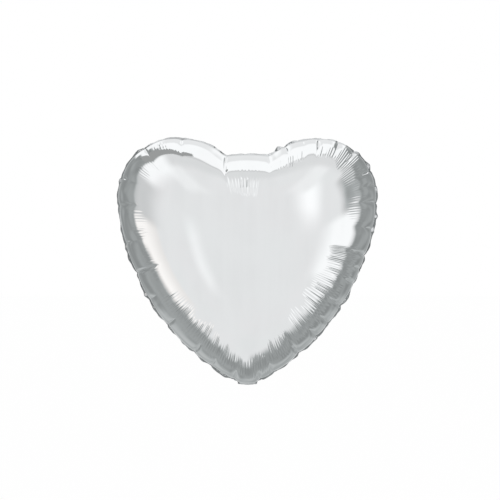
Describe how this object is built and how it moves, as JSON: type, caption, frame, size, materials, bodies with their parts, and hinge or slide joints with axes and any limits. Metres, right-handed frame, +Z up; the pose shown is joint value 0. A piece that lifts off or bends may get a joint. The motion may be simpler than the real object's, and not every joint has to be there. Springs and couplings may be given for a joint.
{
  "type": "heart-shaped foil balloon",
  "caption": "Inflated heart-shaped foil balloon: two domed metallised film panels sealed at a crimped border, with a self-sealing valve and a tail folded behind.",
  "frame": {"origin": "middle of the fold where the tail leaves the heart's bottom tip, in the plane of the seam", "axes": "+X to the balloon's right seen from the front, +Y towards its back, +Z up from the tip to the lobes"},
  "size_m": [0.3646, 0.17, 0.3428],
  "materials": {
    "silver_foil": "mirror-like silver metallised film, taut over the panels and puckered along the seam",
    "sealed_foil": "the same silver film heat-sealed flat to itself, slightly duller",
    "clear_film": "translucent polyethylene film"
  },
  "bodies": {
    "heart": {"front_panel": "silver_foil", "back_panel": "silver_foil", "sealed_border": "sealed_foil", "valve_front_ply": "clear_film", "valve_back_ply": "clear_film"},
    "tail": {"tail_front_ply": "silver_foil", "tail_back_ply": "silver_foil", "tail_valve_front_ply": "clear_film", "tail_valve_back_ply": "clear_film", "tail_left_seal": "sealed_foil", "tail_right_seal": "sealed_foil"}
  },
  "joints": [
    {"name": "tail_fold", "type": "hinge", "parent": "heart", "child": "tail", "pos_m": [0, 0, 0], "axis": [-1, 0, 0], "range_deg": [0, 128]}
  ]
}
